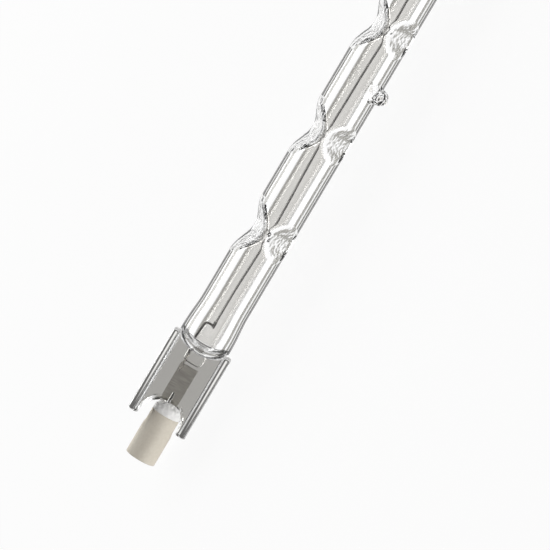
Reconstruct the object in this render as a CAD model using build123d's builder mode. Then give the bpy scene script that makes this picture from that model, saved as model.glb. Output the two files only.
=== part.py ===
from build123d import *
from math import asin, atan2, cos, hypot, radians, sin, tan
import os

os.makedirs("parts", exist_ok=True)

# A double-ended tungsten halogen lamp: a quartz tube pressed flat at both ends,
# with a straight coil on its axis and a ceramic cap at each end.
# Lengths are in millimetres, and places along the lamp are counted from its middle.

# Whole lamp
overall_length = 189.1
cap_exposed = 8.55

# Quartz tube
tube_od = 11.2
tube_wall = 1.1

# Dimples that hold the coil on the axis: sets of one deep and two shallow ones, pressed
# in by blunt wedges whose sides rise at this slope
dimple_places = (13.2, 38.0)
deep_dimple_angle = -75
deep_dimple_floor = 2.7
shallow_dimple_angles = (45, 165)
shallow_dimple_floor = 4.15
wedge_tip = 2.7
wedge_slope = 31

# Exhaust tip, where the tube was pumped out and sealed
tip_angle = 57
tip_height = 3.1
tip_base_radius = 3.1
tip_neck_radius = 1.35
tip_bead_radius = 1.6
tip_bead_length = 2.4
tip_bead_bevel = 0.6
tip_sink = 1.0

# Pinch seal: the end of the tube pressed to an I section
pinch_length = 20.2
pinch_spread = 3.1
rim_width = 1.7
rim_thickness = 4.8
rim_bevel = 0.5
web_thickness = 2.6

# Neck and shoulder, where the round tube widens a little and closes on the flat pinch
neck_length = 10.4
neck_flare = 0.43
neck_flare_length = 7.5
shoulder_depth = 2.1
shoulder_lap = 0.6
shoulder_bevel = 0.9

# Flattened tail of the cavity inside the pinch
tail_width = 4.6
tail_thickness = 1.2
tail_end = 5.2
tail_lap = 1.5
cavity_setback = 1.3

# Arched notch in the pinch's outer end
notch_radius = 5.1
notch_leg = 1.4
notch_bevel = 1.4
notch_leg_bevel = 0.3

# Molybdenum foil in the seal, drawn thicker than the real 0.03 so that it is a solid
foil_width = 4.2
foil_thickness = 0.1
foil_length = 9.0
foil_inset = 0.3

# Leads
inner_lead_diameter = 0.5
inner_lead_lap = 2.0
inner_lead_side = 1.6
inner_lead_bow = 2.35
inner_lead_top_side = 1.9
outer_lead_diameter = 0.8
outer_lead_lap = 2.4
weld_sink = 0.03

# Tungsten coil, as the cylinder that its turns fill, with closely wound ends
coil_setback = 4.0
coil_diameter = 0.62
coil_end_diameter = 0.8
coil_end_length = 1.6

# Ceramic cap
cap_diameter = 7.0
cap_neck_diameter = 6.6
cap_neck_length = 2.8
cap_taper_length = 1.0
cap_length = 11.15
cap_chamfer = 0.3
cap_offset = 0.85

# Recessed contact button in the cap
contact_setback = 1.7
recess_diameter = 4.6
button_thickness = 0.9
button_clearance = 0.1
button_chamfer = 0.2
shank_diameter = 2.4
shank_length = 2.0
shank_clearance = 0.05
lead_bore_diameter = 1.6

# Cement that holds the cap in the notch
cement_diameter = 6.4
cement_top_diameter = 3.4
cement_lap = 0.2

# Places along the lamp, worked out from the sizes above
tube_radius = tube_od / 2
pinch_width = tube_od + pinch_spread
bore_radius = tube_radius - tube_wall
dimple_floors = {angle: shallow_dimple_floor for angle in shallow_dimple_angles}
dimple_floors[deep_dimple_angle] = deep_dimple_floor
lamp_end = overall_length / 2
pinch_end = lamp_end - cap_exposed
pinch_start = pinch_end - pinch_length
neck_radius = tube_radius + neck_flare
shoulder_top = pinch_start + shoulder_lap
shoulder_foot = shoulder_top + shoulder_depth
neck_start = shoulder_top - neck_length
neck_full = neck_start + neck_flare_length
cavity_foot = shoulder_foot - cavity_setback
tail_stop = pinch_start + tail_end
notch_centre = pinch_end - notch_leg
notch_apex = notch_centre - notch_radius + notch_bevel
foil_end = notch_apex - foil_inset
foil_start = foil_end - foil_length
coil_end = pinch_start - coil_setback
coil_end_start = coil_end - coil_end_length
cap_start = lamp_end - cap_length
button_face = lamp_end - contact_setback
button_back = button_face - button_thickness
shank_end = button_back - shank_length

# The lamp lies on a flat surface: it touches at both necks and at one rim of each
# pinch, so its seals lean by the angle at which necks and rims reach equally low.
rim_corner_side = pinch_width / 2 - rim_bevel
rim_corner_out = rim_thickness / 2
lean = asin(neck_radius / hypot(rim_corner_side, rim_corner_out))
lean -= atan2(rim_corner_out, rim_corner_side)

# Its box is centred on the origin: the tip reaches out on one side, a rim on the other
tip_end = tube_radius + tip_height
tip_lean = radians(tip_angle) + lean
tip_reach = tip_end * sin(tip_lean) + (tip_bead_radius - tip_bead_bevel) * cos(tip_lean)
rim_outer_side = pinch_width / 2
rim_outer_out = rim_thickness / 2 - rim_bevel
rim_reach = rim_outer_side * cos(lean) + rim_outer_out * sin(lean)
axis_side = (max(tip_reach, rim_reach) - rim_reach) / 2

# The lamp's own plane: x along its axis, y across the seals' faces, z out of them
lamp = Plane(
    origin=(0, axis_side, neck_radius),
    x_dir=(1, 0, 0),
    z_dir=(0, -sin(lean), cos(lean)),
)


def across(place, side=0.0):
    """The plane square to the axis at this place, moved across the seal by side."""
    centre = lamp.from_local_coords((place, side, 0))
    return Plane(origin=centre, x_dir=lamp.y_dir, z_dir=lamp.x_dir)


def outward(angle, place=0.0):
    """The plane that holds the axis and, as its y, the direction at this angle."""
    turn = radians(angle)
    ray = lamp.z_dir * cos(turn) - lamp.y_dir * sin(turn)
    centre = lamp.from_local_coords((place, 0, 0))
    return Plane(origin=centre, x_dir=lamp.x_dir, z_dir=lamp.x_dir.cross(ray))


def level(height, side=0.0):
    """The plane along the seal's face at this height above its middle."""
    centre = lamp.from_local_coords((0, side, height))
    return Plane(origin=centre, x_dir=lamp.x_dir, z_dir=lamp.z_dir)


def wedge(floor, grown=0.0):
    """The outline of a wedge that presses to this floor, grown on every side."""
    slope = radians(wedge_slope)
    tip = wedge_tip / 2 + grown * tan(slope / 2)
    low = floor - grown
    side = tip + (tube_od - low) / tan(slope)
    return [(-side, tube_od), (-tip, low), (tip, low), (side, tube_od)]


# Notch tool: widest at the web's faces, so that the notch's edge is bevelled
notch_heads = {
    0: (notch_centre + notch_bevel - notch_leg_bevel, notch_radius - notch_leg_bevel),
    1: (notch_centre, notch_radius),
}
notch_mouth = pinch_end + notch_radius
with BuildPart() as notch:
    for face in (-web_thickness / 2, web_thickness / 2):
        for share, (centre, radius) in notch_heads.items():
            with BuildSketch(level(share * face)):
                with BuildLine():
                    CenterArc((centre, 0), radius, 90, 180)
                    Polyline(
                        (centre, -radius),
                        (notch_mouth, -radius),
                        (notch_mouth, radius),
                        (centre, radius),
                    )
                make_face()
        loft(ruled=True)

# Pinch seal of the lamp's right end: two thick rims with a thin web between them
with BuildPart() as pinch:
    rim_middle = (pinch_width - rim_width) / 2
    with BuildSketch(across(pinch_start)) as section:
        Rectangle(pinch_width, web_thickness)
        with Locations((rim_middle, 0), (-rim_middle, 0)):
            Rectangle(rim_width, rim_thickness)
        rim_corners = section.vertices().filter_by(lambda v: abs(v.Y) > web_thickness / 2)
        chamfer(rim_corners, rim_bevel)
    extrude(amount=pinch_length)
    ends = pinch.faces().sort_by(Axis.X)
    chamfer(ends[0].edges() + ends[-1].edges(), rim_bevel)
    add(notch.part, mode=Mode.SUBTRACT)

# Cavity of the right half: a wall inside the tube, with its tail in the web
lamp_axis = Axis(lamp.origin, lamp.x_dir)
with BuildPart() as cavity:
    with BuildSketch(level(0)) as cavity_outline:
        with BuildLine():
            Polyline(
                (0, 0),
                (0, bore_radius),
                (shoulder_top - tube_wall, bore_radius),
                (cavity_foot, 0),
                close=True,
            )
        make_face()
        shoulder_corner = cavity_outline.vertices().group_by(Axis.X)[-2]
        chamfer(shoulder_corner, shoulder_bevel)
    revolve(axis=lamp_axis)
    with BuildSketch(across(cavity_foot - tail_lap)):
        SlotOverall(tail_width, tail_thickness)
    extrude(amount=tail_stop - cavity_foot + tail_lap)
    for place in dimple_places:
        for angle, floor in dimple_floors.items():
            with BuildSketch(outward(angle, place)):
                with BuildLine():
                    Polyline(*wedge(floor, tube_wall), close=True)
                make_face()
            extrude(amount=tube_od, both=True, mode=Mode.SUBTRACT)

# Right half of the tube with its neck and shoulder, pressed in by the wedges
with BuildPart() as half_tube:
    with BuildSketch(level(0)) as tube_outline:
        with BuildLine():
            Polyline(
                (0, 0),
                (0, tube_radius),
                (neck_start, tube_radius),
                (neck_full, neck_radius),
                (shoulder_top, neck_radius),
                (shoulder_foot, 0),
                close=True,
            )
        make_face()
        shoulder_corner = tube_outline.vertices().group_by(Axis.X)[-2]
        chamfer(shoulder_corner, shoulder_bevel)
    revolve(axis=lamp_axis)
    for place in dimple_places:
        for angle, floor in dimple_floors.items():
            with BuildSketch(outward(angle, place)):
                with BuildLine():
                    Polyline(*wedge(floor), close=True)
                make_face()
            extrude(amount=tube_od, both=True, mode=Mode.SUBTRACT)

# Coil on the axis, with the closely wound turns at its ends
with BuildPart() as coil:
    with BuildSketch(across(-coil_end_start)):
        Circle(coil_diameter / 2)
    extrude(amount=2 * coil_end_start)
    for place in (-coil_end, coil_end_start):
        with BuildSketch(across(place)):
            Circle(coil_end_diameter / 2)
        extrude(amount=coil_end_length)

# Foil in the middle of the web
with BuildPart() as foil:
    with BuildSketch(level(-foil_thickness / 2)):
        with Locations((foil_start + foil_length / 2, 0)):
            Rectangle(foil_length, foil_width)
    extrude(amount=foil_thickness)

# Inner lead: from its weld on the foil through the cavity to the coil's end
inner_lead_height = foil_thickness / 2 + inner_lead_diameter / 2 - weld_sink
inner_lead_weld = foil_start + inner_lead_lap
inner_lead_top = coil_end - inner_lead_diameter
with BuildPart() as inner_lead:
    with BuildLine(level(0)):
        Polyline(
            (inner_lead_weld, inner_lead_side, inner_lead_height),
            (cavity_foot + inner_lead_lap, inner_lead_side, inner_lead_height),
            (shoulder_foot - inner_lead_lap, inner_lead_bow, inner_lead_height),
            (inner_lead_top, inner_lead_top_side, 0),
            (inner_lead_top, 0, 0),
        )
    with BuildSketch(across(inner_lead_weld, inner_lead_side)):
        with Locations((0, inner_lead_height)):
            Circle(inner_lead_diameter / 2)
    sweep(transition=Transition.RIGHT)
    add(foil.part, mode=Mode.SUBTRACT)
    add(coil.part, mode=Mode.SUBTRACT)

# Outer lead: from its weld on the foil into the cap, whose axis lies a little aside
outer_lead_height = foil_thickness / 2 + outer_lead_diameter / 2 - weld_sink
outer_lead_weld = foil_end - outer_lead_lap
with BuildPart() as outer_lead:
    with BuildLine(level(0)):
        Polyline(
            (outer_lead_weld, 0, outer_lead_height),
            (foil_end, 0, outer_lead_height),
            (cap_start + outer_lead_diameter, -cap_offset, 0),
            (shank_end, -cap_offset, 0),
        )
    with BuildSketch(across(outer_lead_weld)):
        with Locations((0, outer_lead_height)):
            Circle(outer_lead_diameter / 2)
    sweep(transition=Transition.RIGHT)
    add(foil.part, mode=Mode.SUBTRACT)

# Exhaust tip: a flared foot drawn out to a bead
tip_foot = tube_radius - tip_sink
bead_start = tip_end - tip_bead_length
with BuildPart() as tip:
    with BuildSketch(outward(tip_angle)):
        with BuildLine():
            Polyline(
                (0, tip_foot),
                (tip_base_radius, tip_foot),
                (tip_neck_radius, bead_start),
                (tip_bead_radius, bead_start + tip_bead_bevel),
                (tip_bead_radius, tip_end - tip_bead_bevel),
                (tip_bead_radius - tip_bead_bevel, tip_end),
                (0, tip_end),
                close=True,
            )
        make_face()
    tip_ray = outward(tip_angle)
    revolve(axis=Axis(tip_ray.origin, tip_ray.y_dir))

# Quartz envelope: right half, its twin on the left, and the tip between them
with BuildPart() as quartz_envelope:
    add(half_tube.part)
    add(pinch.part)
    add(cavity.part, mode=Mode.SUBTRACT)
    add(foil.part, mode=Mode.SUBTRACT)
    add(inner_lead.part, mode=Mode.SUBTRACT)
    add(outer_lead.part, mode=Mode.SUBTRACT)
    mirror(about=Plane.YZ)
    add(tip.part)

# Contact button: a round head in the cap's recess, on a shank that takes the lead
cap_axis = Axis(lamp.from_local_coords((0, -cap_offset, 0)), lamp.x_dir)
with BuildPart() as contact_button:
    with BuildSketch(across(shank_end, -cap_offset)):
        Circle(shank_diameter / 2)
    extrude(amount=shank_length)
    with BuildSketch(across(button_back, -cap_offset)):
        Circle(recess_diameter / 2 - button_clearance)
    extrude(amount=button_thickness)
    chamfer(contact_button.faces().sort_by(Axis.X)[-1].edges(), button_chamfer)

# Ceramic cap: a turned outline with a slimmer neck, and a stepped bore
with BuildPart() as ceramic_cap:
    with BuildSketch(level(0, -cap_offset)):
        with BuildLine():
            Polyline(
                (cap_start, 0),
                (cap_start, cap_neck_diameter / 2),
                (cap_start + cap_neck_length, cap_neck_diameter / 2),
                (cap_start + cap_neck_length + cap_taper_length, cap_diameter / 2),
                (lamp_end - cap_chamfer, cap_diameter / 2),
                (lamp_end, cap_diameter / 2 - cap_chamfer),
                (lamp_end, 0),
                close=True,
            )
        make_face()
    revolve(axis=cap_axis)
    with BuildSketch(across(button_back, -cap_offset)):
        Circle(recess_diameter / 2)
    extrude(amount=lamp_end - button_back, mode=Mode.SUBTRACT)
    with BuildSketch(across(shank_end, -cap_offset)):
        Circle(shank_diameter / 2 + shank_clearance)
    extrude(amount=shank_length, mode=Mode.SUBTRACT)
    with BuildSketch(across(cap_start, -cap_offset)):
        Circle(lead_bore_diameter / 2)
    extrude(amount=shank_end - cap_start, mode=Mode.SUBTRACT)

# Cement: a blunt cone on the cap's inner end that reaches the head of the notch
cement_start = notch_apex - cement_lap
with BuildPart() as cement:
    with BuildSketch(level(0, -cap_offset)):
        with BuildLine():
            Polyline(
                (cement_start, 0),
                (cement_start, cement_top_diameter / 2),
                (cap_start, cement_diameter / 2),
                (cap_start, 0),
                close=True,
            )
        make_face()
    revolve(axis=cap_axis)
    add(quartz_envelope.part, mode=Mode.SUBTRACT)
    add(outer_lead.part, mode=Mode.SUBTRACT)

quartz_envelope.part.label = "quartz_envelope"
export_step(quartz_envelope.part, "parts/quartz_envelope.step")
coil.part.label = "filament_coil"
export_step(coil.part, "parts/filament_coil.step")

# What sits in the right end comes a second time, mirrored, in the left end
end_pieces = {
    "foil": foil,
    "inner_lead": inner_lead,
    "outer_lead": outer_lead,
    "cement": cement,
    "ceramic_cap": ceramic_cap,
    "contact_button": contact_button,
}
for name, piece in end_pieces.items():
    piece.part.label = f"{name}_b"
    export_step(piece.part, f"parts/{name}_b.step")
    with BuildPart() as twin:
        add(piece.part)
        mirror(about=Plane.YZ, mode=Mode.REPLACE)
    twin.part.label = f"{name}_a"
    export_step(twin.part, f"parts/{name}_a.step")
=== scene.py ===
# %% [markdown]
# # A double-ended halogen lamp
# The real lamp is a quartz tube no thicker than a finger. It is pressed flat at both ends,
# and it holds a straight tungsten coil on its axis. A ceramic cap with a recessed contact
# sits on each end. This lesson dresses the solid model of that lamp in Blender: the glass,
# the wound coil, the bent leads and the fired ceramic are made here at full detail.
# Everything is in the same place as the solids, so nothing has to be fitted afterwards.

import math

import bmesh
import bpy
from mathutils import Matrix, Vector, noise


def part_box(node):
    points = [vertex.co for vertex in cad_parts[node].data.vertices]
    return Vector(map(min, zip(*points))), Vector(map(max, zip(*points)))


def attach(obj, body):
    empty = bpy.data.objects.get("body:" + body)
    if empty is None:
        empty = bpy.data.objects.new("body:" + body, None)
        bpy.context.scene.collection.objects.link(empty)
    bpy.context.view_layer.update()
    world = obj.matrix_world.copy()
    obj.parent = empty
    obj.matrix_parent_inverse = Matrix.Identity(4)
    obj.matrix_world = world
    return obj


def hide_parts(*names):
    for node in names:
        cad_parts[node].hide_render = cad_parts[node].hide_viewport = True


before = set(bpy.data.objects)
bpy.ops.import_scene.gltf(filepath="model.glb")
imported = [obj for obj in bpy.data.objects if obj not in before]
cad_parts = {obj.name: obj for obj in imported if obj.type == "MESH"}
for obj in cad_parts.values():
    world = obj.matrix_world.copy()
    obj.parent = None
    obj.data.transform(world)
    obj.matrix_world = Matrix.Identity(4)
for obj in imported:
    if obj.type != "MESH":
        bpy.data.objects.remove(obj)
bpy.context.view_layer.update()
print("solid pieces:", len(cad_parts))

# %% [markdown]
# ## The lamp's own axes
# The lamp lies on a table, so its flat seals lean to one side. It is much easier to model
# it upright and to turn the finished mesh. The solid model tells how far it leans: the coil
# lies on the lamp's axis, and each ceramic cap sits a little to one side of it, in the plane
# of the seals. The line from cap to coil is therefore the direction across the seals.

# %% Find the lamp's axes
MM = 0.001


def middle_of(node):
    low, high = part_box(node)
    return (Vector(low) + Vector(high)) / 2


along = Vector((1, 0, 0))
aside = middle_of("filament_coil") - middle_of("ceramic_cap_a")
cap_offset = Vector((0, aside.y, aside.z)).length / MM
across = Vector((0, aside.y, aside.z)).normalized()
outward = along.cross(across)
lamp_turn = Matrix((along, across, outward)).transposed().to_4x4()
axis_place = middle_of("filament_coil")
axis_place.x = 0
lamp = Matrix.Translation(axis_place) @ lamp_turn @ Matrix.Scale(MM, 4)
lean = math.degrees(math.atan2(across.z, across.y))
print(f"the seals lean by {lean:.1f} degrees, the caps sit {cap_offset:.2f} mm aside")

# %% [markdown]
# ## Sizes
# Every size below is in millimetres, in the lamp's own axes: x runs along the lamp from its
# middle, y across the flat seals, and z out of them. They are the solid model's sizes.
# The creases, edges and bends are rounder here than in the light solid model.

# %% Sizes of the glass
TUBE_RADIUS = 5.6
WALL = 1.1
NECK_RADIUS = 6.03
NECK_START = 56.0
NECK_FULL = 63.5
SHOULDER_START = 65.0
SHOULDER_FOOT = 68.5
CAVITY_START = 63.9
CAVITY_FOOT = 67.3
TAIL_WIDTH = 4.6
TAIL_THICKNESS = 1.2
TAIL_END = 71.0

DIMPLE_PLACES = (-38.0, -13.2, 13.2, 38.0)
DIMPLES = ((-75, 2.7), (45, 4.15), (165, 4.15))  # the angle and how near it comes to the axis
WEDGE_TIP = 2.7
WEDGE_SLOPE = math.radians(31)
DIMPLE_REACH = 6.8

PINCH_START = 65.8
PINCH_END = 86.0
PINCH_WIDTH = 14.3
RIM_WIDTH = 1.7
RIM_THICKNESS = 4.8
WEB_THICKNESS = 2.6
NOTCH_CENTRE = 84.6
NOTCH_RADIUS = 5.1
NOTCH_MID_CENTRE = 85.7
NOTCH_MID_RADIUS = 4.8
print("tube:", 2 * TUBE_RADIUS, "mm wide, seals:", PINCH_WIDTH, "mm wide")

# %% [markdown]
# The metal parts lie along the axis one after another: the coil, a lead, the foil, another
# lead. The cap and the cement close the end.

# %% Sizes of the metal and ceramic
COIL_END = 61.8
COIL_DIAMETER = 0.62
FOIL_START = 71.6
FOIL_END = 80.6
FOIL_WIDTH = 4.2
FOIL_THICKNESS = 0.1
CAP_START = 83.4
LAMP_END = 94.55
ENDS = {"a": -1, "b": 1}
print("lamp:", 2 * LAMP_END, "mm long, coil:", 2 * COIL_END, "mm long")

# %% [markdown]
# ## Helpers
# A piece is shaped in a bmesh, Blender's editable mesh. When it is done it is turned into
# place, given smooth shading that breaks at real edges, and tied to the solid it stands for.

# %% Helpers that finish a piece
def plain_object(shape, name):
    """Puts a shape into an object of its own and frees it."""
    mesh = bpy.data.meshes.new(name)
    shape.to_mesh(mesh)
    shape.free()
    piece = bpy.data.objects.new(name, mesh)
    bpy.context.scene.collection.objects.link(piece)
    return piece


def finish_mesh(shape, name, sharp_angle=40):
    """Turns a shape in the lamp's axes into an object in the frame."""
    bmesh.ops.transform(shape, matrix=lamp, verts=shape.verts)
    piece = plain_object(shape, name)
    piece.data.shade_smooth()
    piece.data.set_sharp_from_angle(angle=math.radians(sharp_angle))
    return piece


def hand_over(piece, nodes, slot_name, *materials):
    """The piece rides on the lamp, stands for these solids and gets its finish."""
    for material in materials:
        piece.data.materials.append(material)
    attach(piece, "root")
    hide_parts(*nodes)
    print(piece.name, "faces:", len(piece.data.polygons))


def mirrored_for(shape, sign):
    """A shape made for the right end, turned into one for the end on this side."""
    if sign < 0:
        bmesh.ops.scale(shape, vec=(-1, 1, 1), verts=shape.verts)
        bmesh.ops.reverse_faces(shape, faces=shape.faces)
    return shape


def add_shape(whole, part):
    """Puts one shape into another and frees it."""
    spare = bpy.data.meshes.new("spare")
    part.to_mesh(spare)
    part.free()
    whole.from_mesh(spare)
    bpy.data.meshes.remove(spare)


def round_edges(shape, edges, radius, segments=4):
    bmesh.ops.bevel(shape, geom=edges, offset=radius, segments=segments, affect="EDGES",
                    profile=0.5, material=-1)

# %% [markdown]
# ## Node trees and colours
# A colour is written as the hex value that a colour picker shows, which is sRGB. Blender's
# sockets want linear light, so one function turns the one into the other. A Mix node has a
# pair of sockets for each kind of value that it can mix, and its colours go by their numbers.

# %% Helpers for materials
MIX_FROM, MIX_TO, MIX_RESULT = 6, 7, 2


def linear(hex_colour):
    parts = [int(hex_colour[i:i + 2], 16) / 255 for i in (1, 3, 5)]
    return [c / 12.92 if c <= 0.04045 else ((c + 0.055) / 1.055) ** 2.4 for c in parts] + [1]


def add_node(tree, kind, settings=(), links=()):
    """Adds a node. settings set sockets or properties, links join its inputs."""
    node = tree.nodes.new(kind)
    for key, value in dict(settings).items():
        if isinstance(key, str) and hasattr(node, key):
            setattr(node, key, value)
        else:
            node.inputs[key].default_value = value
    for key, source in dict(links).items():
        tree.links.new(source, node.inputs[key])
    return node


def new_material(name):
    material = bpy.data.materials.new(name)
    material.use_nodes = True
    material.node_tree.nodes.clear()
    return material, material.node_tree


def close_material(tree, shader):
    add_node(tree, "ShaderNodeOutputMaterial", links={"Surface": shader.outputs[0]})

# %% [markdown]
# ## Fused quartz
# The tube is fused quartz, drawn and worked in a flame, so its surface is fire-polished and
# has no texture at all. Its index of refraction is 1.458. Round glass sends light the more
# astray the more its surface slopes: where it faces the eye one looks straight through, and
# where it slopes one sees the bright surroundings, with a dark line at the very edge. That
# look is painted into the glass's colour: a Layer Weight node tells how much a surface slopes,
# and a colour ramp turns that into painted light, with grey painted shade where the glass
# faces the eye, white painted reflections where it slopes, and dark painted lines towards its
# edge. Five parts of the envelope differ in that: the round tube, all that is worked in the
# flame, the wall of the bore, the rims of the seals, and the seals' webs. Worked are the
# dimples, the domed shoulders, the notches and the tip. The wall of the bore is left plain
# and clear. The jaws press the web against the foil and chill it, so it is duller, and its
# grey is painted shade for darker surroundings seen through it.

# %% Make the fused quartz
# each pair is a slope, from 0 facing the eye to 1 edge on, and the colour painted there: grey is
# painted shade, white a painted reflection, dark a painted edge line
TUBE_PAINTED_LIGHT = (
    (0.0, "#B4B1AB"), (0.05, "#9C9993"), (0.08, "#5C5A54"), (0.105, "#6C6A64"), (0.13, "#FFFFFF"),
    (0.26, "#FFFFFF"), (0.29, "#6C6A64"), (0.36, "#6C6A64"), (0.4, "#FFFFFF"), (0.43, "#FFFFFF"),
    (0.46, "#45433D"), (0.53, "#45433D"), (0.56, "#FFFFFF"), (0.575, "#FFFFFF"), (0.6, "#1D1C1B"),
    (0.76, "#1D1C1B"), (0.84, "#84827C"),
)
WORKED_PAINTED_LIGHT = (
    (0.0, "#C6C3BD"), (0.1, "#FFFFFF"), (0.26, "#FFFFFF"), (0.33, "#7C7A74"), (0.42, "#5E5C56"),
    (0.48, "#FFFFFF"), (0.6, "#FFFFFF"), (0.66, "#84827C"), (0.72, "#FFFFFF"), (0.88, "#F2F1EE"),
    (0.96, "#A5A29C"),
)
BORE_CLEARNESS = ((0.0, "#FFFFFF"), (1.0, "#FFFFFF"))
RIM_PAINTED_LIGHT = (
    (0.0, "#DEDCD7"), (0.012, "#DEDCD7"), (0.03, "#1D1C1B"), (0.3, "#262523"), (0.38, "#FFFFFF"),
    (0.6, "#FFFFFF"), (0.68, "#262523"), (0.8, "#262523"), (0.86, "#84827C"),
)
# painted shade: the web's grey where it faces the eye stands for darker surroundings seen through
# it
WEB_PAINTED_LIGHT = ((0.0, "#64625D"), (0.05, "#64625D"), (0.15, "#FFFFFF"), (1.0, "#4A4946"))


def quartz(name, painted_light_ramp, roughness=0.0):
    """Quartz whose colour paints light and shade by how much its outside slopes."""
    material, tree = new_material(name)
    slope = add_node(tree, "ShaderNodeLayerWeight", {"Blend": 0.5})
    ramp = add_node(tree, "ShaderNodeValToRGB", links={"Fac": slope.outputs["Facing"]})
    points = ramp.color_ramp.elements
    while len(points) < len(painted_light_ramp):
        points.new(1.0)
    for point, (place, colour) in zip(points, painted_light_ramp):
        point.position = place
        point.color = linear(colour)
    side = add_node(tree, "ShaderNodeNewGeometry")
    outside_only = add_node(tree, "ShaderNodeMix", {
        "data_type": "RGBA", MIX_TO: linear("#FFFFFF")}, {
        "Factor": side.outputs["Backfacing"], MIX_FROM: ramp.outputs["Color"]})
    shader = add_node(tree, "ShaderNodeBsdfPrincipled", {
        "Roughness": roughness,
        "IOR": 1.458,
        "Transmission Weight": 1.0,
    }, {"Base Color": outside_only.outputs[MIX_RESULT]})
    close_material(tree, shader)
    return material


quartz_parts = (
    quartz("fused_quartz", TUBE_PAINTED_LIGHT),
    quartz("worked_quartz", WORKED_PAINTED_LIGHT),
    quartz("fused_quartz_bore", BORE_CLEARNESS),
    quartz("fused_quartz_rim", RIM_PAINTED_LIGHT),
    quartz("pressed_quartz_web", WEB_PAINTED_LIGHT, 0.06),
)
TUBE_PART, WORKED_PART, BORE_PART, RIM_PART, WEB_PART = range(5)
print("kinds of quartz:", len(quartz_parts))

# %% [markdown]
# ## Tungsten, molybdenum and nickel
# Tungsten wire comes out of the drawing die dark grey and dull. Where the glass has melted
# on to it in the seal it is clean and brighter. Molybdenum foil is rolled, which leaves fine
# streaks across it: noise that is squeezed along the lamp draws them. Molybdenum wire is
# dark as well, and a bright line down either side of it is a painted highlight, white where
# its surface slopes away from the eye.

# %% Make the metals
def dull_metal(name, colour, roughness):
    material, tree = new_material(name)
    shader = add_node(tree, "ShaderNodeBsdfPrincipled", {
        "Base Color": linear(colour),
        "Metallic": 1.0,
        "Roughness": roughness,
    })
    close_material(tree, shader)
    return material


def two_toned(material, dark, pale, factor, low, high):
    """Gives a metal two tones, the dark one where the factor is low."""
    tree = material.node_tree
    share = add_node(tree, "ShaderNodeMapRange", {"From Min": low, "From Max": high},
                     {"Value": factor})
    tone = add_node(tree, "ShaderNodeMix", {
        "data_type": "RGBA", MIX_FROM: linear(dark), MIX_TO: linear(pale)}, {
        "Factor": share.outputs[0]})
    base_colour = tree.nodes["Principled BSDF"].inputs["Base Color"]
    tree.links.new(tone.outputs[MIX_RESULT], base_colour)


def rolled_streaks(tree, size_mm):
    """Noise of this size along each of the frame's axes."""
    place = add_node(tree, "ShaderNodeTexCoord")
    stretch = add_node(tree, "ShaderNodeMapping", {"Scale": [1 / (s * MM) for s in size_mm]},
                       {"Vector": place.outputs["Object"]})
    streaks = add_node(tree, "ShaderNodeTexNoise", {"Scale": 1.0, "Detail": 3.0},
                       {"Vector": stretch.outputs[0]})
    return streaks.outputs["Fac"]


tungsten = dull_metal("drawn_tungsten", "#4A4745", 0.5)
sealed_tungsten = dull_metal("tungsten_in_the_seal", "#A5A29C", 0.35)
nickel = dull_metal("satin_nickel", "#B9B4AA", 0.32)
molybdenum_foil = dull_metal("rolled_molybdenum_foil", "#C6C3BD", 0.4)
streaks = rolled_streaks(molybdenum_foil.node_tree, (0.25, 2.5, 2.5))
two_toned(molybdenum_foil, "#A5A29C", "#C6C3BD", streaks, 0.35, 0.65)
molybdenum_wire = dull_metal("drawn_molybdenum_wire", "#4A4845", 0.25)
# painted highlight: the wire turns white where its surface slopes away from the eye
slope = add_node(molybdenum_wire.node_tree, "ShaderNodeLayerWeight", {"Blend": 0.5})
two_toned(molybdenum_wire, "#4A4845", "#FFFFFF", slope.outputs["Facing"], 0.1, 0.3)
print("metals: tungsten, molybdenum and nickel")

# %% [markdown]
# ## Steatite and cement
# The caps are steatite, a fired ceramic with a dry, slightly speckled surface. The cement is
# a pale, rough paste. In both, one noise makes the colour wander and raises the grain.

# %% Make the ceramic and the cement
def fired_ceramic(name, pale, dark, grain_mm, roughness, depth):
    """Ceramic whose colour wanders between two shades in grains of this size."""
    material, tree = new_material(name)
    place = add_node(tree, "ShaderNodeTexCoord")
    grain = add_node(tree, "ShaderNodeTexNoise", {"Scale": 1 / (grain_mm * MM), "Detail": 4.0},
                     {"Vector": place.outputs["Object"]})
    tone = add_node(tree, "ShaderNodeMix", {
        "data_type": "RGBA", MIX_FROM: linear(dark), MIX_TO: linear(pale)}, {
        "Factor": grain.outputs["Fac"]})
    bump = add_node(tree, "ShaderNodeBump", {"Strength": depth, "Distance": 0.1 * MM},
                    {"Height": grain.outputs["Fac"]})
    shader = add_node(tree, "ShaderNodeBsdfPrincipled", {"Roughness": roughness},
                      {"Base Color": tone.outputs[MIX_RESULT], "Normal": bump.outputs[0]})
    close_material(tree, shader)
    return material


steatite = fired_ceramic("fired_steatite", "#DAD3C6", "#CBC3B4", 0.6, 0.7, 0.25)
cement_paste = fired_ceramic("cement_paste", "#F7F6F4", "#E9E8E6", 0.3, 0.85, 0.5)
print("materials:", len(bpy.data.materials))

# %% [markdown]
# ## The tube, its necks and its shoulders
# A glass-worker heats the tube and presses blunt wedges into it from three sides, so that the
# glass nearly touches the coil and holds it on the axis. A wedge could simply be cut out of
# the tube, but hot glass bends and keeps its thickness. So the tube is drawn out ring by ring
# from a circle, and then each ring is pressed: the wall lies at the round tube or at the
# wedge's face, whichever is nearer the axis, and the crease between them is a little soft.
# The bore is drawn the same way, with wedges that are thicker by the wall.

# %% Press the wall
CREASE = 0.6
LEAST_FACING = 0.05  # past this the wedge's face runs beside the wall and never meets it


def soft_least(a, b, softness):
    """The lesser of two lengths, blended where they are nearly equal."""
    share = max(softness - abs(a - b), 0) / softness
    return min(a, b) - share * share * softness / 4


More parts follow.
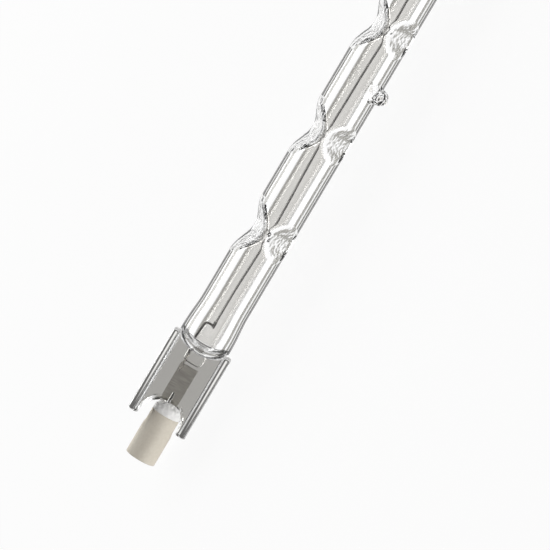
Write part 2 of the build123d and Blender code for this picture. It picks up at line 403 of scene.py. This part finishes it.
def wedge_height(reach, floor, grown):
    """How far a wedge's face is from the axis, at this distance from its middle."""
    past_tip = reach - WEDGE_TIP / 2 - grown * math.tan(WEDGE_SLOPE / 2)
    rise = (past_tip + math.hypot(past_tip, CREASE)) / 2
    return floor - grown + rise * math.tan(WEDGE_SLOPE)


def pressed_radius(place, angle, radius, grown):
    """The wall's distance from the axis at this place and angle."""
    for centre in DIMPLE_PLACES:
        reach = abs(place - centre)
        for dimple_angle, floor in DIMPLES:
            facing = math.cos(math.radians(angle - dimple_angle))
            if facing > LEAST_FACING and reach < DIMPLE_REACH:
                face = wedge_height(reach, floor, grown) / facing
                radius = soft_least(radius, face, CREASE)
    return radius


def eased(share):
    share = min(max(share, 0), 1)
    return share * share * (3 - 2 * share)


def tube_profile(place, radius, neck, dome_start, dome_foot):
    """The tube's radius before it is pressed: straight, flared, then domed."""
    place = abs(place)
    radius += (neck - radius) * eased((place - NECK_START) / (NECK_FULL - NECK_START))
    if place <= dome_start:
        return radius
    share = min((place - dome_start) / (dome_foot - dome_start), 1)
    return radius * math.sqrt(max(1 - share * share, 0))


deepest = min(pressed_radius(DIMPLE_PLACES[0], angle, TUBE_RADIUS, 0) for angle, floor in DIMPLES)
print(f"the deepest dimple comes to {deepest:.2f} mm from the axis")

# %% [markdown]
# The rings are close together where the tube is pressed and on the dome, and further apart
# where it is straight. A dome needs rings at even angles, not at even distances. A pressed
# face is never quite even, so a little noise lifts and sinks it, on the bore's side too.

# %% Draw out the rings
PRESSED_STEP = 0.25
FLARED_STEP = 0.6
STRAIGHT_STEP = 1.2
DOME_STEPS = 14
DOME_GAP = 0.2  # the straight part's last ring may be this near the dome
UNEVEN = 0.09
UNEVEN_PER_MM = 1.9
UNEVEN_DEPTH = 0.05  # a face that is pressed in by more than this is uneven
WORKED_DEPTH = 0.005  # and one that is pressed in at all counts as worked


def ring_step(place):
    """How far away the next ring is, for what the tube does here."""
    if min(abs(place - centre) for centre in DIMPLE_PLACES) < DIMPLE_REACH:
        return PRESSED_STEP
    return FLARED_STEP if place > NECK_START else STRAIGHT_STEP


def ring_places(dome_start, dome_foot):
    """Places of the rings on the right half, from the middle outwards."""
    places = [0.0]
    while places[-1] < dome_start - DOME_GAP:
        places.append(places[-1] + ring_step(places[-1]))
    for i in range(1, DOME_STEPS):
        share = math.sin(math.pi / 2 * i / DOME_STEPS)
        places.append(dome_start + (dome_foot - dome_start) * share)
    return places


def grow_ring(shape, edges):
    """Extrudes a ring of edges once and gives the new ring's corners and edges."""
    grown = bmesh.ops.extrude_edge_only(shape, edges=edges)["geom"]
    corners = [g for g in grown if isinstance(g, bmesh.types.BMVert)]
    new = set(corners)
    edges = [g for g in grown if isinstance(g, bmesh.types.BMEdge)
             and g.verts[0] in new and g.verts[1] in new]
    return corners, edges


def drawn_tube(radius, neck, dome_start, dome_foot, grown, sides=128):
    """A closed tube, drawn out ring by ring and pressed at the dimples."""
    half = ring_places(dome_start, dome_foot)
    places = [-p for p in reversed(half[1:])] + half
    shape = bmesh.new()
    start = Matrix.Translation((places[0], 0, 0)) @ Matrix.Rotation(math.pi / 2, 4, "Y")
    first = bmesh.ops.create_circle(shape, segments=sides, radius=1.0, matrix=start)["verts"]
    edges = list(shape.edges)
    for before, place in zip(places, places[1:]):
        ring, edges = grow_ring(shape, edges)
        bmesh.ops.translate(shape, vec=(place - before, 0, 0), verts=ring)
    for vert in shape.verts:
        place, side, out = vert.co
        angle = math.degrees(math.atan2(-side, out))
        free = tube_profile(place, radius, neck, dome_start, dome_foot)
        wide = pressed_radius(place, angle, free, grown)
        if free - wide > UNEVEN_DEPTH:
            spot = [c * UNEVEN_PER_MM for c in (place, side * free, out * free)]
            wide += UNEVEN * noise.noise(spot)
        vert.tag = free - wide > WORKED_DEPTH or abs(place) > dome_start
        vert.co.y, vert.co.z = side * wide, out * wide
    for face in shape.faces:
        is_worked = any(vert.tag for vert in face.verts)
        face.material_index = WORKED_PART if is_worked else TUBE_PART
    bmesh.ops.pointmerge(shape, verts=first, merge_co=(-dome_foot, 0, 0))
    bmesh.ops.pointmerge(shape, verts=ring, merge_co=(dome_foot, 0, 0))
    bmesh.ops.recalc_face_normals(shape, faces=shape.faces)
    return shape


tube_shape = drawn_tube(TUBE_RADIUS, NECK_RADIUS, SHOULDER_START, SHOULDER_FOOT, 0)
cavity_shape = drawn_tube(TUBE_RADIUS - WALL, NECK_RADIUS - WALL, CAVITY_START, CAVITY_FOOT, WALL)
print("tube faces:", len(tube_shape.faces), "cavity faces:", len(cavity_shape.faces))

# %% [markdown]
# ## The pinch seals
# While the end is soft, two jaws press it to the section of an I: a thin web that holds the
# foil gas-tight, between two thick rims that make it stiff. The section is drawn once,
# extruded along the seal, and its long edges are rounded, and then the rims' ends.

# %% Shape one pinch
ROOT_ROUNDING = 0.3
RIM_ROUNDING = 0.78
RIM_END_ROUNDING = 0.5


def pinch_section():
    """The corners of the I section, going round it."""
    wide, inner = PINCH_WIDTH / 2, PINCH_WIDTH / 2 - RIM_WIDTH
    thick, web = RIM_THICKNESS / 2, WEB_THICKNESS / 2
    quarter = [(inner, web), (inner, thick), (wide, thick)]
    corners = quarter + [(y, -z) for y, z in reversed(quarter)]
    corners += [(-y, -z) for y, z in quarter] + [(-y, z) for y, z in reversed(quarter)]
    return corners


def pressed_pinch():
    shape = bmesh.new()
    corners = [shape.verts.new((PINCH_START, y, z)) for y, z in pinch_section()]
    face = shape.faces.new(corners)
    grown = bmesh.ops.extrude_face_region(shape, geom=[face])["geom"]
    bmesh.ops.translate(shape, vec=(PINCH_END - PINCH_START, 0, 0),
                        verts=[g for g in grown if isinstance(g, bmesh.types.BMVert)])
    bmesh.ops.recalc_face_normals(shape, faces=shape.faces)

    def is_long(edge):
        return abs(edge.verts[0].co.x - edge.verts[1].co.x) > 1

    def height(edge):
        return abs(edge.verts[0].co.z)

    rim_from = RIM_THICKNESS / 2 - 0.1
    wall_from = WEB_THICKNESS / 2 + 0.2
    roots = [e for e in shape.edges if is_long(e) and height(e) < rim_from]
    round_edges(shape, roots, ROOT_ROUNDING)
    rims = [e for e in shape.edges if is_long(e) and height(e) > rim_from]
    round_edges(shape, rims, RIM_ROUNDING, segments=8)
    ends = [e for e in shape.edges if not is_long(e) and height(e) > wall_from]
    round_edges(shape, ends, RIM_END_ROUNDING)
    return shape


pinch_shape = pressed_pinch()
print("pinch faces:", len(pinch_shape.faces))

# %% [markdown]
# The web ends in an arched notch that takes the ceramic cap. Glass that is squeezed between
# the jaws bulges into it, so it is narrowest in the middle of the web. Its cutter is a stack
# of circles, the middle one smaller, whose outer half is pushed clear of the seal.

# %% Shape the notch's cutter
def notch_cutter():
    """A round-headed slot, narrowest in the middle of the web."""
    face, far = WEB_THICKNESS / 2, RIM_THICKNESS
    levels = [(-far, NOTCH_CENTRE, NOTCH_RADIUS), (-face, NOTCH_CENTRE, NOTCH_RADIUS),
              (0, NOTCH_MID_CENTRE, NOTCH_MID_RADIUS),
              (face, NOTCH_CENTRE, NOTCH_RADIUS), (far, NOTCH_CENTRE, NOTCH_RADIUS)]
    shape = bmesh.new()
    height, centre, radius = levels[0]
    bmesh.ops.create_circle(shape, segments=96, radius=radius,
                            matrix=Matrix.Translation((centre, 0, height)))
    edges = list(shape.edges)
    bmesh.ops.contextual_create(shape, geom=edges)
    for new_height, new_centre, new_radius in levels[1:]:
        corners, edges = grow_ring(shape, edges)
        size = new_radius / radius
        bmesh.ops.scale(shape, vec=(size, size, 1), verts=corners,
                        space=Matrix.Translation((-centre, 0, 0)))
        bmesh.ops.translate(shape, vec=(new_centre - centre, 0, new_height - height),
                            verts=corners)
        height, centre, radius = new_height, new_centre, new_radius
    bmesh.ops.contextual_create(shape, geom=edges)
    mouth = [v for v in shape.verts if v.co.x > NOTCH_MID_CENTRE + 0.1]
    bmesh.ops.translate(shape, vec=(2 * NOTCH_RADIUS, 0, 0), verts=mouth)
    bmesh.ops.recalc_face_normals(shape, faces=shape.faces)
    return shape


notch_shape = notch_cutter()
print("notch faces:", len(notch_shape.faces))

# %% [markdown]
# ## The flattened tail of the cavity
# The jaws don't close on the last few millimetres of the bore, so it runs on into the web as
# a flat pocket with round corners. The inner lead comes out of the glass there.

# %% Shape the pocket
TAIL_OVERLAP = 1.6  # how far the pocket reaches back into the dome
TAIL_CORNER = 1.0
TAIL_EDGE = 0.5


def flat_pocket():
    shape = bmesh.new()
    start = CAVITY_FOOT - TAIL_OVERLAP
    centre = Matrix.Translation(((start + TAIL_END) / 2, 0, 0))
    size = Matrix.Diagonal((TAIL_END - start, TAIL_WIDTH, TAIL_THICKNESS, 1))
    bmesh.ops.create_cube(shape, size=1, matrix=centre @ size)
    upright = [e for e in shape.edges if abs(e.verts[0].co.z - e.verts[1].co.z) > 0.1
               and e.verts[0].co.x > TAIL_END - 0.1]
    round_edges(shape, upright, TAIL_CORNER, segments=8)
    lying = [e for e in shape.edges if abs(e.verts[0].co.z - e.verts[1].co.z) < 0.01]
    round_edges(shape, lying, TAIL_EDGE)
    return shape


pocket_shape = flat_pocket()
print("pocket faces:", len(pocket_shape.faces))

# %% [markdown]
# ## The exhaust tip
# The tube is pumped out and filled through a thin side tube, which is then melted off. What
# is left is a lump of glass with a bead at its end. Its outline is spun round, turned to its
# place on the tube and then made uneven with a little noise, because it was melted by hand.
# Noise that moves corners three ways has a seed, and it is set once, so that every run gives
# the same lump.

# %% Spin the tip
TIP_ANGLE = 57
TIP_TOP = 8.65
TIP_FOOT = [(3.1, 4.9), (2.5, 5.45), (1.9, 5.9), (1.5, 6.3)]  # radius and height
BEAD_RADIUS = 1.75
LUMPS = ((0.24, 0.7), (0.15, 1.9))  # how far the glass strays, and how many lumps to a mm
LUMPS_START = 5.0
LUMPS_FULL = 5.6
noise.seed_set(14)


def melted_tip():
    outline = list(TIP_FOOT)
    for angle in range(-15, 90, 15):
        turned, centre = math.radians(angle), TIP_TOP - BEAD_RADIUS
        outline.append((BEAD_RADIUS * math.cos(turned), centre + BEAD_RADIUS * math.sin(turned)))
    shape = bmesh.new()
    corners = [shape.verts.new((radius, 0, height)) for radius, height in outline]
    corners.append(shape.verts.new((0, 0, TIP_TOP)))
    corners.insert(0, shape.verts.new((0, 0, outline[0][1])))
    edges = [shape.edges.new(pair) for pair in zip(corners, corners[1:])]
    bmesh.ops.spin(shape, geom=corners + edges, cent=(0, 0, 0), axis=(0, 0, 1),
                   angle=2 * math.pi, steps=48, use_merge=True)
    bmesh.ops.remove_doubles(shape, verts=shape.verts, dist=0.001)
    steep = [e for e in shape.edges if abs(e.verts[0].co.z - e.verts[1].co.z) > 0.2]
    bmesh.ops.subdivide_edges(shape, edges=steep, cuts=2)
    for vert in shape.verts:
        share = eased((vert.co.z - LUMPS_START) / (LUMPS_FULL - LUMPS_START))
        moves = [depth * noise.noise_vector(vert.co * per_mm) for depth, per_mm in LUMPS]
        vert.co += share * sum(moves, Vector())
    turn = Matrix.Rotation(math.radians(TIP_ANGLE), 3, "X")
    bmesh.ops.rotate(shape, cent=(0, 0, 0), matrix=turn, verts=shape.verts)
    bmesh.ops.recalc_face_normals(shape, faces=shape.faces)
    return shape


tip_shape = melted_tip()
print("tip faces:", len(tip_shape.faces))

# %% [markdown]
# ## Melt the envelope together
# Tube, pinches and tip are one piece of glass, so their shapes are joined by Boolean
# modifiers, and the bore, the pockets and the notches are taken out of them. The result is
# kept as a plain mesh, and the shapes that it was made from are thrown away.

# %% Join and cut the glass
def in_glass(shape, name, part=None):
    """A plain object of quartz, all of one part of the envelope if that is given."""
    if part is not None:
        for face in shape.faces:
            face.material_index = part
    piece = plain_object(shape, name)
    for glass in quartz_parts:
        piece.data.materials.append(glass)
    return piece


def on_both_ends(shape):
    """The same shape at the lamp's right end and, mirrored, at its left end."""
    both = bmesh.new()
    for sign in (1, -1):
        add_shape(both, mirrored_for(shape.copy(), sign))
    shape.free()
    return both


def after_modifiers(body, steps=()):
    """The body's shape after its modifiers and each (operation, tool) given here."""
    for operation, tool in steps:
        change = body.modifiers.new(tool.name, "BOOLEAN")
        change.operation = operation
        change.object = tool
        change.solver = "EXACT"
        change.material_mode = "INDEX"
    done = bpy.context.evaluated_depsgraph_get()
    mesh = bpy.data.meshes.new_from_object(body.evaluated_get(done))
    shape = bmesh.new()
    shape.from_mesh(mesh)
    bpy.data.meshes.remove(mesh)
    for spent in [body] + [tool for operation, tool in steps]:
        bpy.data.objects.remove(spent)
    return shape


envelope_shape = after_modifiers(in_glass(tube_shape, "tube"), [
    ("UNION", in_glass(on_both_ends(pinch_shape), "pinches", RIM_PART)),
    ("UNION", in_glass(tip_shape, "tip", WORKED_PART)),
    ("DIFFERENCE", in_glass(on_both_ends(notch_shape), "notches", WORKED_PART)),
    ("DIFFERENCE", in_glass(cavity_shape, "cavity", BORE_PART)),
    ("DIFFERENCE", in_glass(on_both_ends(pocket_shape), "pockets", BORE_PART)),
])
flat_faces = [f for f in envelope_shape.faces if f.material_index == RIM_PART
              and abs(f.normal.z) > 0.99]
web_faces = [f for f in flat_faces if abs(f.calc_center_median().z) < RIM_THICKNESS / 2 - 0.5]
for face in web_faces:
    face.material_index = WEB_PART
open_edges = [e for e in envelope_shape.edges if not e.is_manifold]
print("envelope faces:", len(envelope_shape.faces), "open edges:", len(open_edges))
print("faces of the webs:", len(web_faces))
envelope = finish_mesh(envelope_shape, "blown_envelope", sharp_angle=30)
hand_over(envelope, ["quartz_envelope"], "fused_quartz", *quartz_parts)

# %% [markdown]
# ## The coil
# The filament is a single coil of tungsten wire, wound so fine that at arm's length it looks
# like one dark line. One turn is spun with a rise along the axis, an Array modifier repeats
# it, and the whole coil is then let stray sideways by a fraction of a millimetre, as a real
# one does between its supports. Its ends are wound close, turn on turn.

# %% Wind the coil
WIRE = 0.15
WIRE_SIDES = 6
TURN_STEPS = 10
COIL_PITCH = 0.27
CLOSE_PITCH = 0.17
CLOSE_LENGTH = 1.6
CLOSE_DIAMETER = 0.8
STRAYS = ((-55, 0.0), (-38, -0.4), (-12.8, 0.25), (0, 0.1), (12.8, -0.2), (38, 0.3), (55, 0.0))


def stray(place):
    """How far the coil lies to one side at this place, eased between known places."""
    for (before, first), (after, last) in zip(STRAYS, STRAYS[1:]):
        if before <= place <= after:
            return first + (last - first) * eased((place - before) / (after - before))
    return 0


def wound(name, start, end, diameter, pitch):
    """A helix between two places on the axis."""
    radius = (diameter - WIRE) / 2
    turns = round((end - start) / pitch)
    shape = bmesh.new()
    place = Matrix.Translation((start, 0, radius)) @ Matrix.Rotation(math.pi / 2, 4, "X")
    bmesh.ops.create_circle(shape, segments=WIRE_SIDES, radius=WIRE / 2, matrix=place)
    bmesh.ops.spin(shape, geom=shape.verts[:] + shape.edges[:], cent=(start, 0, 0),
                   axis=(1, 0, 0), dvec=(pitch / TURN_STEPS, 0, 0), angle=2 * math.pi,
                   steps=TURN_STEPS)
    turn = plain_object(shape, name)
    repeat = turn.modifiers.new("turns", "ARRAY")
    repeat.count = turns
    repeat.use_relative_offset = False
    repeat.use_constant_offset = True
    repeat.constant_offset_displace = (pitch, 0, 0)
    repeat.use_merge_vertices = True
    repeat.merge_threshold = 0.005
    print(name, "turns:", turns)
    return after_modifiers(turn)


coil_shape = wound("coil", -COIL_END + CLOSE_LENGTH, COIL_END - CLOSE_LENGTH, COIL_DIAMETER,
                   COIL_PITCH)
for start in (-COIL_END, COIL_END - CLOSE_LENGTH):
    add_shape(coil_shape, wound("close_turns", start, start + CLOSE_LENGTH, CLOSE_DIAMETER,
                                CLOSE_PITCH))
for vert in coil_shape.verts:
    vert.co.y += stray(vert.co.x)
bmesh.ops.holes_fill(coil_shape, edges=coil_shape.edges, sides=WIRE_SIDES)
bmesh.ops.recalc_face_normals(coil_shape, faces=coil_shape.faces)
coil = finish_mesh(coil_shape, "wound_coil", sharp_angle=80)
hand_over(coil, ["filament_coil"], "tungsten", tungsten)

# %% [markdown]
# ## Bent wires
# A lead is wire bent round a peg at each corner. So the helper draws a ring of wire along the
# straight runs with extrude, and swings it round each corner with spin.

# %% Bend wire along its corners
BEND_STEP = 7  # degrees


def bent_wire(thickness, corners, bend, sides=16):
    """Round wire along these corners, each bent round a peg of the bend's radius."""
    corners = [Vector(c) for c in corners]
    heading = (corners[1] - corners[0]).normalized()
    shape = bmesh.new()
    place = Matrix.Translation(corners[0]) @ heading.to_track_quat("Z", "Y").to_matrix().to_4x4()
    bmesh.ops.create_circle(shape, segments=sides, radius=thickness / 2, matrix=place)
    edges = list(shape.edges)
    bmesh.ops.contextual_create(shape, geom=edges)
    point = corners[0]
    for corner, after in zip(corners[1:], corners[2:] + [None]):
        turn_by = heading.angle(after - corner) if after else 0
        cut_back = bend * math.tan(turn_by / 2)
        target = corner - heading * cut_back
        ring, edges = grow_ring(shape, edges)
        bmesh.ops.translate(shape, vec=target - point, verts=ring)
        point = target
        if after:
            ahead = (after - corner).normalized()
            towards = (ahead - heading * ahead.dot(heading)).normalized()
            axis = heading.cross(towards)
            peg = point + towards * bend
            steps = max(int(math.degrees(turn_by) / BEND_STEP), 2)
            swung = bmesh.ops.spin(shape, geom=edges, cent=peg, axis=axis, angle=turn_by,
                                   steps=steps)["geom_last"]
            edges = [g for g in swung if isinstance(g, bmesh.types.BMEdge)]
            point = peg + Matrix.Rotation(turn_by, 3, axis) @ (point - peg)
            heading = ahead
    bmesh.ops.contextual_create(shape, geom=edges)
    bmesh.ops.recalc_face_normals(shape, faces=shape.faces)
    return shape

# %% [markdown]
# ## What sits in each end
# Both ends are alike, so each piece is made once for the right end and mirrored for the left.
# The ceramic cap and the contact are turned parts: their outlines are spun round the cap's
# own axis, which lies a little beside the lamp's.

# %% Turn a piece on the cap's axis
def turned_part(outline, sides=96):
    """An outline of (place, radius) spun round the cap's axis."""
    shape = bmesh.new()
    corners = [shape.verts.new((place, radius - cap_offset, 0)) for place, radius in outline]
    edges = [shape.edges.new(pair) for pair in zip(corners, corners[1:])]
    bmesh.ops.spin(shape, geom=corners + edges, cent=(0, -cap_offset, 0), axis=(1, 0, 0),
                   angle=2 * math.pi, steps=sides, use_merge=True)
    bmesh.ops.remove_doubles(shape, verts=shape.verts, dist=0.0005)
    bmesh.ops.recalc_face_normals(shape, faces=shape.faces)
    return shape


def rounded(outline, radius, steps=4):
    """The outline with its inner corners rounded."""
    smooth = [outline[0]]
    for before, corner, after in zip(outline, outline[1:], outline[2:]):
        before, corner, after = (Vector(p) for p in (before, corner, after))
        reach = min(radius, (before - corner).length / 2.1, (after - corner).length / 2.1)
        start = corner + (before - corner).normalized() * reach
        end = corner + (after - corner).normalized() * reach
        for i in range(steps + 1):
            share = i / steps
            smooth.append(tuple((1 - share) ** 2 * start + 2 * share * (1 - share) * corner
                                + share ** 2 * end))
    return smooth + [outline[-1]]

# %% [markdown]
# The cap is a sleeve with a recess in its end, and the contact is a round button at the
# bottom of that recess. The cement fills the head of the notch and stands proud of the cap,
# as a low dome. It is smeared on by hand, so noise makes it uneven, as it does the tip.

# %% Make the ceramic cap, the contact and the cement
CAP_OUTLINE = [(92.0, 0.0), (92.0, 2.3), (LAMP_END, 2.3), (LAMP_END, 3.5), (87.2, 3.5),
               (86.2, 3.3), (CAP_START, 3.3), (CAP_START, 0.0)]
BUTTON_OUTLINE = [(92.0, 0.0), (92.0, 2.2), (92.85, 2.2), (92.85, 0.0)]
CEMENT_STRAY = 0.25
CEMENT_LUMPS_PER_MM = 1.5
CEMENT_OUTLINE = [(83.5, 0.0), (83.5, 3.25), (82.4, 3.2), (81.7, 2.9), (81.1, 2.2), (80.8, 1.2),
                  (80.7, 0.0)]

for end, sign in ENDS.items():
    cap_shape = mirrored_for(turned_part(rounded(CAP_OUTLINE, 0.25)), sign)
    cap = finish_mesh(cap_shape, f"fired_cap_{end}")
    hand_over(cap, [f"ceramic_cap_{end}"], "ceramic", steatite)
    button_shape = mirrored_for(turned_part(rounded(BUTTON_OUTLINE, 0.2)), sign)
    button = finish_mesh(button_shape, f"contact_{end}")
    hand_over(button, [f"contact_button_{end}"], "nickel_contact", nickel)
    cement_shape = turned_part(rounded(CEMENT_OUTLINE, 0.4))
    for vert in cement_shape.verts:
        lump = noise.noise_vector(vert.co * CEMENT_LUMPS_PER_MM)
        vert.co += CEMENT_STRAY * eased(CAP_START - vert.co.x) * lump
    cement_shape = mirrored_for(cement_shape, sign)
    cement = finish_mesh(cement_shape, f"cement_head_{end}", sharp_angle=70)
    hand_over(cement, [f"cement_{end}"], "cement", cement_paste)

# %% [markdown]
# ## The foil and the leads
# Quartz doesn't stick to thick metal, but it seals gas-tight round a foil thinner than a hair.
# The inner lead is welded to one end of the foil and the outer lead to the other.

# %% Make the foil and bend the leads
INNER_WIRE = 0.5
INNER_BEND = 0.8
OUTER_WIRE = 0.8
OUTER_BEND = 2.0
INNER_HEIGHT = 0.27  # the wire's middle above the foil's
OUTER_HEIGHT = 0.42
INNER_LEAD = [(73.6, 1.6, INNER_HEIGHT), (69.3, 1.6, INNER_HEIGHT), (66.5, 2.35, INNER_HEIGHT),
              (61.3, 1.9, 0.0), (61.3, 0.0, 0.0)]
OUTER_LEAD = [(78.2, 0.0, OUTER_HEIGHT), (80.6, 0.0, OUTER_HEIGHT), (84.2, -cap_offset, 0.0),
              (90.0, -cap_offset, 0.0)]

for end, sign in ENDS.items():
    foil_shape = bmesh.new()
    centre = Matrix.Translation(((FOIL_START + FOIL_END) / 2, 0, 0))
    size = Matrix.Diagonal((FOIL_END - FOIL_START, FOIL_WIDTH, FOIL_THICKNESS, 1))
    bmesh.ops.create_cube(foil_shape, size=1, matrix=centre @ size)
    foil = finish_mesh(mirrored_for(foil_shape, sign), f"seal_foil_{end}")
    hand_over(foil, [f"foil_{end}"], "molybdenum_foil", molybdenum_foil)
    inner_shape = mirrored_for(bent_wire(INNER_WIRE, INNER_LEAD, INNER_BEND), sign)
    for face in inner_shape.faces:
        face.material_index = int(abs(face.calc_center_median().x) > SHOULDER_FOOT)
    inner = finish_mesh(inner_shape, f"bent_inner_lead_{end}")
    hand_over(inner, [f"inner_lead_{end}"], "tungsten", tungsten, sealed_tungsten)
    outer_shape = mirrored_for(bent_wire(OUTER_WIRE, OUTER_LEAD, OUTER_BEND), sign)
    outer = finish_mesh(outer_shape, f"bent_outer_lead_{end}")
    hand_over(outer, [f"outer_lead_{end}"], "molybdenum_wire", molybdenum_wire)

# %% [markdown]
# ## Table, light and camera
# The photograph has a plain white ground and soft light. Glass shows little of its own, so
# its look comes partly from what is round it and partly from the painted light and shade in
# the quartz's colour. A Light Path node makes the table and the world white to the eye, in a
# mirror and through glass. For all other light the table is plain paper, and the world is dim.

# %% Lay the table
WHITE_SHARE = 0.93  # the rest stays paper, so that the lamp's shadow shows


def seen_as_ground(tree):
    """1 for a ray from the eye, a mirror or through glass, and 0 for one that lights."""
    ray = add_node(tree, "ShaderNodeLightPath")
    mirrored = add_node(tree, "ShaderNodeMath", {"operation": "MAXIMUM"}, {
        0: ray.outputs["Is Camera Ray"], 1: ray.outputs["Is Glossy Ray"]})
    through = add_node(tree, "ShaderNodeMath", {"operation": "MAXIMUM"}, {
        0: mirrored.outputs[0], 1: ray.outputs["Is Transmission Ray"]})
    return through.outputs[0]


table_shape = bmesh.new()
bmesh.ops.create_grid(table_shape, x_segments=1, y_segments=1, size=1.5)
table = plain_object(table_shape, "table")
table_paper, tree = new_material("white_paper")
paper = add_node(tree, "ShaderNodeBsdfPrincipled", {
    "Base Color": linear("#FCFCFC"), "Roughness": 0.9, "Specular IOR Level": 0.0})
bright = add_node(tree, "ShaderNodeEmission", {"Color": linear("#FFFFFF"), "Strength": 1.0})
share = add_node(tree, "ShaderNodeMath", {"operation": "MULTIPLY", 1: WHITE_SHARE},
                 {0: seen_as_ground(tree)})
shown = add_node(tree, "ShaderNodeMixShader", links={
    0: share.outputs[0], 1: paper.outputs[0], 2: bright.outputs[0]})
close_material(tree, shown)
table.data.materials.append(table_paper)
print("table:", [round(side, 2) for side in table.dimensions], "m")

# %% [markdown]
# Two long soft boxes run along the lamp, a high one behind it and a low one in front, so
# the cap and the cement are lit from both sides.

# %% Light it
def soft_box(name, place, size, power):
    """A rectangle of light that faces the lamp's middle."""
    box_data = bpy.data.lights.new(name, "AREA")
    box_data.shape = "RECTANGLE"
    box_data.size, box_data.size_y = size
    box_data.energy = power
    box = bpy.data.objects.new(name, box_data)
    box.location = place
    box.rotation_mode = "QUATERNION"
    box.rotation_quaternion = (-Vector(place)).to_track_quat("-Z", "Y")
    bpy.context.scene.collection.objects.link(box)
    print(name, power, "W")


soft_box("back_box", place=(0, 0.5, 0.3), size=(1.2, 0.3), power=4.6)
soft_box("front_box", place=(0, -0.5, 0.06), size=(1.2, 0.1), power=3.2)

# %% [markdown]
# The world is the air all round. It lights the lamp only a little, so that the soft boxes
# shape it, but it looks white.

# %% Set the world
world = bpy.data.worlds.new("studio")
bpy.context.scene.world = world
world.use_nodes = True
tree = world.node_tree
tree.nodes.clear()
sky = add_node(tree, "ShaderNodeBackground", {"Color": linear("#FFFFFF"), "Strength": 0.1})
ground = add_node(tree, "ShaderNodeBackground", {"Color": linear("#FFFFFF"), "Strength": 1.0})
shown = add_node(tree, "ShaderNodeMixShader", links={
    0: seen_as_ground(tree), 1: sky.outputs[0], 2: ground.outputs[0]})
add_node(tree, "ShaderNodeOutputWorld", links={"Surface": shown.outputs[0]})
print("world:", world.name)

# %% [markdown]
# The camera looks square on to the seals' faces, but for a few degrees towards the lamp's
# middle, and it is rolled so that the lamp slants up to the right. A long lens far away
# keeps the tube from tapering, as in the photograph.

# %% Place the camera
FRAME_PIXELS = 550
PIXELS_PER_MM = 4.593
CAP_END_PIXEL = (140, 458)
SLANT = 30.7
TOWARDS_MIDDLE = 7
LENS = 300

tilt, slant = math.radians(TOWARDS_MIDDLE), math.radians(SLANT)
back = (outward * math.cos(tilt) + along * math.sin(tilt)).normalized()
lamp_up = (along * math.cos(tilt) - outward * math.sin(tilt)).normalized()
lamp_right = -across
right = (lamp_up * math.sin(slant) + lamp_right * math.cos(slant)).normalized()
up = back.cross(right).normalized()
cap_end = lamp @ Vector((-LAMP_END, -cap_offset, 0))
half = FRAME_PIXELS / 2
picture_x = (CAP_END_PIXEL[0] - half) / PIXELS_PER_MM * MM
picture_y = (half - CAP_END_PIXEL[1]) / PIXELS_PER_MM * MM
aim_point = cap_end - right * picture_x - up * picture_y

camera_data = bpy.data.cameras.new("camera")
camera_data.lens = LENS
distance = half / PIXELS_PER_MM * MM / (camera_data.sensor_width / 2 / LENS)
camera = bpy.data.objects.new("camera", camera_data)
camera.matrix_world = Matrix.Translation(aim_point + back * distance) @ Matrix(
    (right, up, back)).transposed().to_4x4()
camera_data.clip_start, camera_data.clip_end = 0.01, 20
bpy.context.scene.collection.objects.link(camera)
bpy.context.scene.camera = camera
bpy.context.scene.view_settings.view_transform = "Standard"
print(f"camera {distance:.2f} m away")
